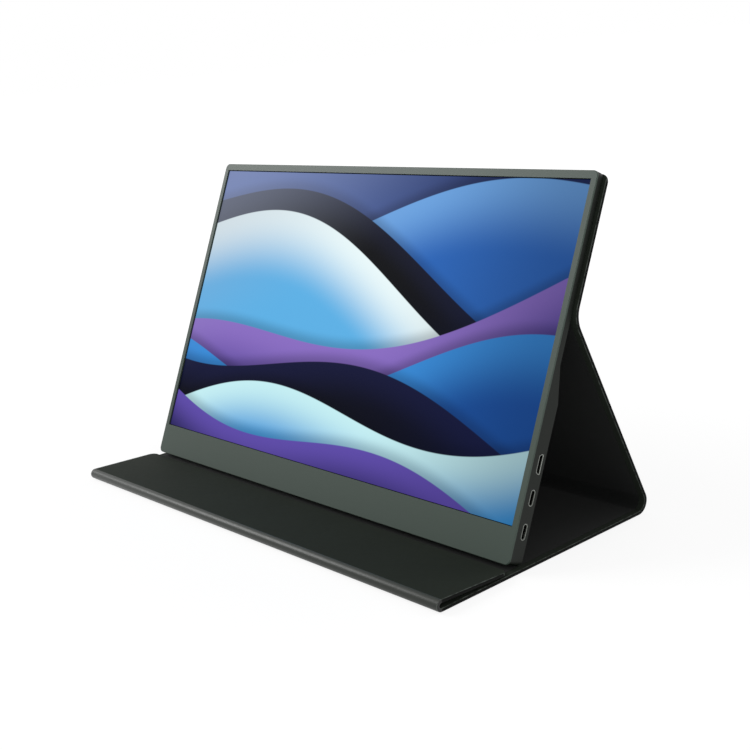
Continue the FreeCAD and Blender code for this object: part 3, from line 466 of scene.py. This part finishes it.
def lit_picture():
    """The screen's front film: a lit picture under a matt coat, black outside the lit area."""
    mon = settings().monitor
    made, tree, shader, where = blank("lit_screen_film")
    middle = on_monitor(0.0, mon.chin + mon.picture_height / 2, 0.0)
    spot = node(tree, "ShaderNodeMapping", {
        "Vector": where, "Location": middle, "Rotation": (pi / 2 - mon.lean, 0, 0),
        "Scale": (mon.picture_height,) * 3}, vector_type="TEXTURE")
    split = node(tree, "ShaderNodeSeparateXYZ", {"Vector": spot.outputs["Vector"]})
    across, up = split.outputs["X"], split.outputs["Y"]

    def math(operation, first, second=0.0, third=0.0):
        return node(tree, "ShaderNodeMath", {0: first, 1: second, 2: third},
                    operation=operation).outputs[0]

    def ramp(value, low, high):
        return node(tree, "ShaderNodeMapRange", {"Value": value, "From Min": low, "From Max": high},
                    interpolation_type="SMOOTHSTEP").outputs["Result"]

    def mix(factor, first, second):
        return node(tree, "ShaderNodeMix", {"Factor": factor, "A": first, "B": second},
                    data_type="RGBA").outputs[2]

    seen = mix(ramp(across, -SKY_REACH, SKY_REACH), ink(SKY[0]), ink(SKY[1]))
    for height, slope, swing, waves, phase, edge, deep, fade in BANDS:
        wave = math("SINE", math("MULTIPLY_ADD", across, waves, phase))
        line = math("MULTIPLY_ADD", wave, swing, math("MULTIPLY_ADD", across, slope, height))
        below = math("SUBTRACT", line, up)
        cast = math("MULTIPLY", ramp(below, -CAST_REACH, 0.0), CAST_DARK)
        seen = mix(cast, seen, ink(CAST))
        seen = mix(ramp(below, -EDGE_SOFT, EDGE_SOFT),
                   seen, mix(ramp(below, 0.0, fade), ink(edge), ink(deep)))
    seen = mix(math("MULTIPLY", ramp(across, DUSK_FROM, DUSK_TO), DUSK_SHARE), seen, ink(DUSK))
    # painted reflection: a pale veil that grows towards the upper left corner
    corner = math("MULTIPLY_ADD", across, PAINTED_REFLECTION_SLOPE, up)
    seen = mix(math("MULTIPLY", ramp(corner, PAINTED_REFLECTION_FROM, PAINTED_REFLECTION_TO), PAINTED_REFLECTION_SHARE), seen, ink(PAINTED_REFLECTION))
    half_width = mon.picture_width / mon.picture_height / 2
    lit = math("MULTIPLY", math("LESS_THAN", math("ABSOLUTE", across), half_width),
               math("LESS_THAN", math("ABSOLUTE", up), 0.5))
    seen = mix(lit, ink(UNLIT), seen)
    tree.links.new(seen, shader.inputs["Emission Color"])
    grit = node(tree, "ShaderNodeTexNoise", {"Vector": where, "Scale": 1 / GRIT})
    matt = node(tree, "ShaderNodeMapRange", {
        "Value": grit.outputs["Fac"], "To Min": FILM_GLOSSY, "To Max": FILM_MATT})
    tree.links.new(matt.outputs["Result"], shader.inputs["Roughness"])
    shader.inputs["Base Color"].default_value = ink(FILM)
    shader.inputs["Emission Strength"].default_value = PICTURE_POWER
    shader.inputs["Specular IOR Level"].default_value = FILM_GLOSS
    return made


# circuit boards: two greens, the tracks' colour, their pitch, share and relief, and the lacquer
GREEN_ONE, GREEN_TWO, TRACK = "0d4a2c", "0b4027", "2a7048"
TRACK_PITCH, TRACK_SHARE, TRACK_RELIEF = 4 * MM, 0.04, 0.03 * MM
LACQUER_MATT = 0.35


def circuit_laminate():
    """Glass-fibre board under green lacquer: a fine grid of tracks a shade lighter."""
    made, tree, shader, where = blank("lacquered_circuit_laminate")
    tracks = node(tree, "ShaderNodeTexBrick", {
        "Vector": where, "Color1": ink(GREEN_ONE), "Color2": ink(GREEN_TWO),
        "Mortar": ink(TRACK), "Scale": 1 / TRACK_PITCH, "Mortar Size": TRACK_SHARE})
    tree.links.new(tracks.outputs["Color"], shader.inputs["Base Color"])
    bump = node(tree, "ShaderNodeBump", {
        "Height": tracks.outputs["Fac"], "Distance": TRACK_RELIEF})
    tree.links.new(bump.outputs["Normal"], shader.inputs["Normal"])
    shader.inputs["Roughness"].default_value = LACQUER_MATT
    return made


def finishes():
    """One material for each slot of the record.

    A grained one has its name, colour, roughness, grain and pit depth in millimetres, and
    the spread of its tone.
    """
    case = settings().case
    metal = {"Metallic": 1.0}
    return {
        # moulded front frame under a satin paint: fine grit, soft sheen
        "bezel_grey": grained("satin_painted_frame", case.bezel, 0.4, 0.35, 0.006, 0.05,
                              Specular_IOR_Level=0.25),
        # moulded ABS with a fine spark texture
        "case_dark": grained("spark_textured_abs", case.case, 0.5, 0.5, 0.012, 0.08,
                             Specular_IOR_Level=0.18),
        "control_black": grained("satin_black_abs", case.controls, 0.38, 0.4, 0.008, 0.08),
        "foam_black": grained("closed_cell_foam", linear("0b0b0b"), 0.9, 0.6, 0.04, 0.3),
        "picture_film": lit_picture(),
        "panel_glass": grained("panel_glass", linear("cfe0e2"), 0.08, 20, 0.001, 0.03,
                               Transmission_Weight=0.85),
        "clear_sheet": grained("clear_acrylic_sheet", linear("dfe8ec"), 0.25, 6, 0.002, 0.04),
        "white_sheet": grained("white_polyester_sheet", linear("efefef"), 0.6, 3, 0.003, 0.03),
        "lamp": grained("lamp_gel", linear("f0e8a0"), 0.25, 0.8, 0.004, 0.08),
        "flex_amber": grained("amber_polyimide", linear("a8631a"), 0.3, 2.5, 0.004, 0.12),
        "panel_plastic": grained("black_polycarbonate", linear("151515"), 0.5, 0.7, 0.01, 0.1),
        "tray_steel": grained("zinc_coated_steel", linear("b9bcbe"), 0.35, 2.2, 0.004, 0.08,
                              **metal),
        "socket_steel": grained("nickel_plated_steel", case.metal, 0.26, 0.5, 0.003, 0.06, **metal),
        "screw_steel": grained("black_zinc_steel", linear("3a3a3c"), 0.4, 0.5, 0.004, 0.1, **metal),
        "circuit_green": circuit_laminate(),
        "chip_black": grained("moulded_epoxy", linear("111113"), 0.6, 0.3, 0.008, 0.15),
        "socket_black": grained("black_nylon", linear("0a0a0a"), 0.5, 0.4, 0.006, 0.15),
        "magnet_nickel": grained("bright_nickel", linear("c9ccd0"), 0.18, 3, 0.002, 0.04, **metal),
        "cover_skin": pressed_skin("pressed_polyurethane_skin", matt_most=0.92, rubbed_loss=0.2,
                                   gloss=0.14),
        "cover_lining": microfibre(),
        "cover_stiffener": grained("grey_fibreboard", linear("7b6f60"), 0.85, 1.2, 0.03, 0.15),
    }


MADE = {}


class MONITOR_OT_finishes(bpy.types.Operator):
    """Give every solid of the frame the finish of its slot"""
    bl_idname = "monitor.finishes"
    bl_label = "Finishes"

    def execute(self, context):
        MADE.update(finishes())
        # the front fold is bent tightest and handled most, so its pebble is polished
        MADE["front_fold"] = pressed_skin("polished_polyurethane_skin", matt_most=0.6,
                                          rubbed_loss=0.2, gloss=0.42)
        for part in frame["record"]["subparts"]:
            solid = frame["nodes"][part["node"]]
            solid.data.materials.clear()
            solid.data.materials.append(MADE[part["material_slot"]])
        return {"FINISHED"}


def turned(place):
    """The matrix of a panel's own frame: X across, Y along the panel, Z on the lining side."""
    return Matrix.Translation((0, place[0], place[1])) @ Matrix.Rotation(place[2], 4, "X")


# panel: body, whether its low end and its high end are free
PANELS = {
    "base": ("base", False, False),
    "prop": ("prop", False, False),
    "lip": ("lip", True, False),
    "upper": ("monitor", False, True),
}
# fold: the body that it leaves and the body that it reaches
FOLDS = {
    "rear_fold": ("base", "prop"),
    "front_fold": ("lip", "base"),
    "crease": ("prop", "monitor"),
}
FOLD_STEPS, FOLD_SMOOTH = 48, 50


def hub_of(place):
    """The point in the middle of the cover that a fold turns about."""
    radius, sense = place[3], place[5]
    return turned(place) @ Vector((0, 0, sense * radius))


def rounded_slab(name, half, low, high, under, over, corner, edge, free_low, free_high):
    """A flat slab whose sides and free ends are rounded; ends that meet a fold stay square."""
    piece = start(name, bpy.ops.mesh.primitive_cube_add,
                  (2 * half, high - low, over - under), (0, (low + high) / 2, (over + under) / 2),
                  size=1)

    def at_end(co):
        return (free_low and abs(co.y - low) < NEAR) or (free_high and abs(co.y - high) < NEAR)

    if corner and (free_low or free_high):
        pick(piece, "EDGE", lambda e: along(e, 2) and at_end(middle_of(e)))
        bpy.ops.mesh.bevel(offset=corner, offset_type="OFFSET", segments=CORNER_STEPS,
                           affect="EDGES")

    def rim(e):
        spot = middle_of(e)
        square = ((not free_low and abs(spot.y - low) < NEAR)
                  or (not free_high and abs(spot.y - high) < NEAR))
        return not along(e, 2) and not square

    pick(piece, "EDGE", rim)
    bpy.ops.mesh.bevel(offset=edge, offset_type="OFFSET", segments=EDGE_STEPS, affect="EDGES")
    return piece


class MONITOR_OT_cover_panels(bpy.types.Operator):
    """Model the cover's four stiff panels, each a turned skin and a lining"""
    bl_idname = "monitor.cover_panels"
    bl_label = "Cover panels"

    def execute(self, context):
        cov, places = settings().cover, layout()
        top = cov.thickness / 2
        for name, (body, free_low, free_high) in PANELS.items():
            place = places[name]
            run = place[3]
            skin = rounded_slab(name + "_cover_skin", cov.half_width, 0.0, run, -top,
                                top - cov.lining_proud, cov.corner, cov.edge_round,
                                free_low, free_high)
            done(skin, turned(place))
            dress(skin, MADE["cover_skin"], body, (name + "_skin",))
            low = cov.turn_in if free_low else 0.0
            high = run - cov.turn_in if free_high else run
            lining = rounded_slab(name + "_cover_lining", cov.half_width - cov.turn_in, low, high,
                                  top - cov.lining_depth, top, cov.corner / 2, cov.lining_proud / 2,
                                  free_low, free_high)
            done(lining, turned(place))
            dress(lining, MADE["cover_lining"], body, (name + "_lining",))
        return {"FINISHED"}


class MONITOR_OT_cover_folds(bpy.types.Operator):
    """Model the three soft folds, each a skin and a lining turned round its fold line"""
    bl_idname = "monitor.cover_folds"
    bl_label = "Cover folds"

    def strip(self, name, half, under, over, edge, place):
        """One layer of a fold: a rounded section turned about the fold's own line."""
        begin, hub, swing, sense = turned(place), hub_of(place), place[4], place[5]
        piece = start(name, bpy.ops.mesh.primitive_plane_add, (2 * half, over - under, 1),
                      (0, (over + under) / 2, 0), size=1)
        bpy.ops.mesh.bevel(offset=edge, offset_type="OFFSET", segments=EDGE_STEPS,
                           affect="VERTICES")
        bpy.ops.object.mode_set(mode="OBJECT")
        piece.matrix_world = begin @ Matrix.Rotation(pi / 2, 4, "X")
        bpy.ops.object.transform_apply(location=True, rotation=True, scale=True)
        bpy.ops.object.mode_set(mode="EDIT")
        bpy.ops.mesh.select_all(action="SELECT")
        bpy.ops.mesh.spin(steps=FOLD_STEPS, angle=-sense * swing, center=hub, axis=(1, 0, 0))
        done(piece, smooth=FOLD_SMOOTH)
        self.rub(piece, begin, hub, swing)
        return piece

    def rub(self, piece, begin, hub, swing):
        """Mark each point by its place round the bend, because the middle of a fold wears most."""
        mark = piece.data.attributes.new("rubbed", "FLOAT", "POINT")
        first = begin.translation - hub
        for point, value in zip(piece.data.vertices, mark.data):
            arm = point.co - hub
            arm.x = 0
            value.value = sin(pi * min(1.0, arm.angle(first) / swing))

    def execute(self, context):
        cov, places = settings().cover, layout()
        top = cov.thickness / 2
        for name, (leaves, reaches) in FOLDS.items():
            place = places[name]
            layers = (("skin", cov.half_width, -top, top - cov.lining_proud, cov.edge_round),
                      ("lining", cov.half_width - cov.turn_in, top - cov.lining_depth, top,
                       cov.lining_proud / 2))
            for layer, half, under, over, edge in layers:
                piece = self.strip("%s_cover_%s" % (name, layer), half, under, over, edge, place)
                slot = "cover_" + layer
                made = MADE.get(name) if layer == "skin" else None
                dress(piece, made or MADE[slot], None, ("%s_%s" % (name, layer),))
                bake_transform(piece)
        return {"FINISHED"}


def side_frame(side, across, up, back):
    """A frame on a side wall, X up the side and Z outward; side is 1 right and -1 left."""
    lean = settings().monitor.lean
    turn = Matrix(((0, 0, side), (sin(lean), -side * cos(lean), 0),
                   (cos(lean), side * sin(lean), 0)))
    return Matrix.Translation(on_monitor(across, up, back)) @ turn.to_4x4()


# socket rims: name, height up the side, depth from the face, length and width of the hole,
# all in millimetres, and whether the hole is bevelled
RIMS = (
    ("socket_rim_low", 19.4, 6.5, 9.3, 3.6, False),
    ("socket_rim_high", 38.3, 6.5, 9.3, 3.6, False),
    ("video_rim", 57.1, 6.6, 11.4, 3.4, True),
)
RIM_WIDTH, RIM_DEPTH, RIM_ROUND, RIM_PROUD = 0.4 * MM, 0.6 * MM, 0.12 * MM, 0.02 * MM
VIDEO_BEVEL = 1.1 * MM
OUTLINE_POINTS = 32
# a face is level if its normal rises this far, and upright if it rises less than the second
LEVEL, UPRIGHT = 0.9, 0.1
# wheel: its bore, thickness, facets, outer round, and the margin and depth of a groove
WHEEL_BORE, WHEEL_THICK, WHEEL_SIDES, WHEEL_ROUND = 1.06 * MM, 2.2 * MM, 60, 0.22 * MM
GROOVE_MARGIN, GROOVE_DEPTH = 0.04 * MM, 0.2 * MM
# shares of the radius beyond which an edge and a face belong to the wheel's outer wall
OUTER_EDGE, OUTER_FACE = 0.95, 0.9
# button: its length, width and round, how far it stands out, and its place up and back
BUTTON_LONG, BUTTON_WIDE, BUTTON_ROUND, BUTTON_PROUD = 9.0 * MM, 2.6 * MM, 0.3 * MM, 0.4 * MM
BUTTON_UP, BUTTON_BACK = 66 * MM, 5.9 * MM


def slot_outline(name, long, wide):
    """A flat face with straight sides and half-round ends, all of it selected."""
    piece = start(name, bpy.ops.mesh.primitive_circle_add, (wide / 2, wide / 2, 1),
                  vertices=OUTLINE_POINTS, radius=1, fill_type="NGON")
    for side in (1, -1):
        pick(piece, "VERT", lambda v: side * v.co.x > NEAR)
        bpy.ops.transform.translate(value=(side * (long - wide) / 2, 0, 0))
    bpy.ops.mesh.select_all(action="SELECT")
    return piece


def hollow(width, depth):
    """Leave a rim of this width of the selected flat face, and give it a depth."""
    bpy.ops.mesh.select_mode(type="FACE")
    bpy.ops.mesh.inset(thickness=width, use_boundary=True)
    bpy.ops.mesh.delete(type="FACE")
    bpy.ops.mesh.select_all(action="SELECT")
    bpy.ops.mesh.extrude_region_move(TRANSFORM_OT_translate={"value": (0, 0, -depth)})


class MONITOR_OT_socket_rims(bpy.types.Operator):
    """Model the plated rims that line the three sockets"""
    bl_idname = "monitor.socket_rims"
    bl_label = "Socket rims"

    def execute(self, context):
        mon = settings().monitor
        for name, up, back, long, wide, bevelled in RIMS:
            long, wide = long * MM, wide * MM
            if bevelled:
                piece = start(name, bpy.ops.mesh.primitive_plane_add, (long, wide / 2, 1),
                              (0, -wide / 4, 0), size=1)
                pick(piece, "EDGE", lambda e: along(e, 0) and middle_of(e).y > -NEAR)
                bpy.ops.mesh.extrude_region_move(
                    TRANSFORM_OT_translate={"value": (0, wide / 2, 0)})
                bpy.ops.transform.resize(value=((long - 2 * VIDEO_BEVEL) / long, 1, 1))
                bpy.ops.mesh.select_all(action="SELECT")
            else:
                piece = slot_outline(name, long, wide)
            hollow(RIM_WIDTH, RIM_DEPTH)
            pick(piece, "EDGE", lambda e: min(v.co.z for v in e.verts) > -NEAR
                 and not all(abs(f.normal.z) > LEVEL for f in e.link_faces))
            bpy.ops.mesh.bevel(offset=RIM_ROUND, offset_type="OFFSET", segments=FINE_STEPS,
                               affect="EDGES")
            done(piece, side_frame(1, mon.half_width + RIM_PROUD, up * MM, back * MM))
            dress(piece, MADE["socket_steel"], "monitor")
        return {"FINISHED"}


class MONITOR_OT_jog_wheel(bpy.types.Operator):
    """Model the knurled wheel on the left side"""
    bl_idname = "monitor.jog_wheel"
    bl_label = "Jog wheel"

    def execute(self, context):
        low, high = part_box("jog_wheel")
        radius = (high.x - low.x) / 2
        piece = start("knurled_jog_wheel", bpy.ops.mesh.primitive_circle_add, (radius, radius, 1),
                      (0, 0, WHEEL_THICK / 2), vertices=WHEEL_SIDES, radius=1, fill_type="NGON")
        hollow(radius - WHEEL_BORE, WHEEL_THICK)
        pick(piece, "EDGE", lambda e: abs(e.verts[0].co.z - e.verts[1].co.z) < NEAR
             and middle_of(e).xy.length > OUTER_EDGE * radius)
        bpy.ops.mesh.bevel(offset=WHEEL_ROUND, offset_type="OFFSET", segments=FINE_STEPS,
                           affect="EDGES")

        def groove(face):
            spot = face.calc_center_median().xy
            if abs(face.normal.z) > UPRIGHT or spot.length < OUTER_FACE * radius:
                return False
            turn = spot.angle_signed(Vector((1, 0)))
            return round(turn / (2 * pi / WHEEL_SIDES) - 0.5) % 2 == 0

        pick(piece, "FACE", groove)
        bpy.ops.mesh.inset(thickness=GROOVE_MARGIN, depth=-GROOVE_DEPTH, use_individual=True)
        lean = settings().monitor.lean
        done(piece, Matrix.Translation((low + high) / 2) @ Matrix.Rotation(-pi / 2 - lean, 4, "X"))
        dress(piece, MADE["control_black"], "jog_wheel", ("jog_wheel",))
        return {"FINISHED"}


class MONITOR_OT_power_button(bpy.types.Operator):
    """Model the softly crowned power button on the left side"""
    bl_idname = "monitor.power_button"
    bl_label = "Power button"

    def execute(self, context):
        low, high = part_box("power_button")
        reach = high.x - low.x
        piece = slot_outline("power_button_cap", BUTTON_LONG, BUTTON_WIDE)
        bpy.ops.mesh.extrude_region_move(TRANSFORM_OT_translate={"value": (0, 0, -reach)})
        pick(piece, "EDGE", lambda e: min(v.co.z for v in e.verts) > -NEAR)
        bpy.ops.mesh.bevel(offset=BUTTON_ROUND, offset_type="OFFSET", segments=EDGE_STEPS,
                           affect="EDGES")
        mon = settings().monitor
        done(piece, side_frame(-1, -mon.half_width - BUTTON_PROUD, BUTTON_UP, BUTTON_BACK))
        dress(piece, MADE["control_black"], "power_button", ("power_button",))
        return {"FINISHED"}


# camera fitted to the photo: place in metres, and its turns in degrees
EYE = (0.62339, -0.48588, 0.28606)
PITCH, ROLL, YAW = 14.743, -5.514, -50.028
SENSOR_WIDTH, CLIP_START = 36.0, 0.01
WHITE = (1, 1, 1, 1)
# floor: size and drop in metres, colour, strength of its plain white, and how far out it fades
FLOOR_SIZE, FLOOR_DROP, PAPER, PLAIN_STRENGTH = 30, 0.0004, "f4f4f4", 1.07
FADE_FROM, FADE_TO = 0.25, 0.9
# lamps: place, target and size in metres; the settings hold the power of each
LAMPS = {
    "key": ((-1.75, -1.0, 1.4), (0, 0, 0.1), (1.3, 1.1)),
    "fill": ((1.4, -0.7, 0.7), (0, 0, 0.08), (0.8, 0.8)),
    "rim": ((0.3, 1.2, 1.0), (0, 0, 0.1), (1.2, 0.6)),
}


def lamp(name, place, target, size, power):
    data = bpy.data.lights.new(name, "AREA")
    data.shape = "RECTANGLE"
    data.size, data.size_y = size
    data.energy = power
    item = bpy.data.objects.new(name, data)
    bpy.context.scene.collection.objects.link(item)
    item.location = place
    item.rotation_euler = (Vector(target) - Vector(place)).to_track_quat("-Z", "Y").to_euler()


def backdrop_share(tree):
    """1 for rays from the camera or off gloss and through glass, else 0."""
    light = node(tree, "ShaderNodeLightPath")
    first = node(tree, "ShaderNodeMath", {0: light.outputs["Is Camera Ray"],
                                          1: light.outputs["Is Glossy Ray"]}, operation="MAXIMUM")
    return node(tree, "ShaderNodeMath", {0: first.outputs[0],
                                         1: light.outputs["Is Transmission Ray"]},
                operation="MAXIMUM").outputs[0]


class MONITOR_OT_studio(bpy.types.Operator):
    """Set the floor, the soft lamps, the white surround and the camera"""
    bl_idname = "monitor.studio"
    bl_label = "Studio"

    def execute(self, context):
        studio = settings().studio
        clear_selection()
        bpy.ops.mesh.primitive_plane_add(size=FLOOR_SIZE, location=(0, 0, -FLOOR_DROP))
        floor = context.object
        floor.name = "pale_floor"
        made, tree, shader, where = blank("pale_paper_floor")
        tree.nodes.remove(shader)
        paper = node(tree, "ShaderNodeBsdfDiffuse", {"Color": ink(PAPER)})
        plain = node(tree, "ShaderNodeEmission", {"Color": WHITE, "Strength": PLAIN_STRENGTH})
        away = node(tree, "ShaderNodeVectorMath", {0: where}, operation="LENGTH")
        plainness = node(tree, "ShaderNodeMapRange", {
            "Value": away.outputs["Value"], "From Min": FADE_FROM, "From Max": FADE_TO,
            "To Min": studio.floor_share, "To Max": 1.0}, interpolation_type="SMOOTHSTEP")
        share = node(tree, "ShaderNodeMath", {0: backdrop_share(tree),
                                              1: plainness.outputs["Result"]},
                     operation="MULTIPLY")
        both = node(tree, "ShaderNodeMixShader", {0: share.outputs[0], 1: paper.outputs[0],
                                                  2: plain.outputs[0]})
        tree.links.new(both.outputs[0], tree.nodes["Material Output"].inputs["Surface"])
        floor.data.materials.append(made)

        world = bpy.data.worlds.new("white_surround")
        context.scene.world = world
        world.use_nodes = True
        tree = world.node_tree
        soft = tree.nodes["Background"]
        soft.inputs["Color"].default_value = WHITE
        soft.inputs["Strength"].default_value = studio.world_light
        white = node(tree, "ShaderNodeBackground", {"Color": WHITE, "Strength": 1.0})
        both = node(tree, "ShaderNodeMixShader", {0: backdrop_share(tree), 1: soft.outputs[0],
                                                  2: white.outputs[0]})
        tree.links.new(both.outputs[0], tree.nodes["World Output"].inputs["Surface"])

        for name, (place, target, size) in LAMPS.items():
            lamp(name, place, target, size, getattr(studio, name + "_power"))

        data = bpy.data.cameras.new("photo_view")
        data.sensor_width = SENSOR_WIDTH
        data.lens = studio.lens
        data.clip_start = CLIP_START
        camera = bpy.data.objects.new("photo_view", data)
        context.scene.collection.objects.link(camera)
        pitch, roll, yaw = radians(PITCH), radians(ROLL), radians(YAW)
        ahead = Vector((sin(yaw) * cos(pitch), cos(yaw) * cos(pitch), -sin(pitch)))
        level = Vector((cos(yaw), -sin(yaw), 0))
        rise = level.cross(ahead)
        right = cos(roll) * level + sin(roll) * rise
        up = -sin(roll) * level + cos(roll) * rise
        turn = Matrix((right, up, -ahead)).transposed()
        camera.matrix_world = Matrix.Translation(EYE) @ turn.to_4x4()
        context.scene.camera = camera
        context.scene.view_settings.view_transform = "Standard"
        return {"FINISHED"}


OPERATORS = (MONITOR_OT_finishes, MONITOR_OT_cover_panels, MONITOR_OT_cover_folds,
             MONITOR_OT_socket_rims, MONITOR_OT_jog_wheel, MONITOR_OT_power_button,
             MONITOR_OT_studio)


class MONITOR_PT_looks(bpy.types.Panel):
    """The settings and the steps, in the sidebar"""
    bl_idname = "MONITOR_PT_looks"
    bl_label = "Portable monitor"
    bl_space_type = "VIEW_3D"
    bl_region_type = "UI"
    bl_category = "Monitor"

    def draw(self, context):
        looks = settings()
        for group in (looks.monitor, looks.cover, looks.case, looks.studio):
            box = self.layout.box()
            for name in group.bl_rna.properties.keys():
                if name not in ("rna_type", "name"):
                    box.prop(group, name)
        for step in OPERATORS:
            self.layout.operator(step.bl_idname)


CLASSES = (MonitorShape, CoverShape, CaseColours, Studio, MonitorLooks) + OPERATORS + (
    MONITOR_PT_looks,)


def register():
    for kind in CLASSES:
        bpy.utils.register_class(kind)
    bpy.types.Scene.monitor_looks = bpy.props.PointerProperty(type=MonitorLooks)


def unregister():
    del bpy.types.Scene.monitor_looks
    for kind in reversed(CLASSES):
        bpy.utils.unregister_class(kind)


def main():
    register()
    for step in OPERATORS:
        group, name = step.bl_idname.split(".")
        getattr(getattr(bpy.ops, group), name)()


if __name__ == "__main__":
    main()
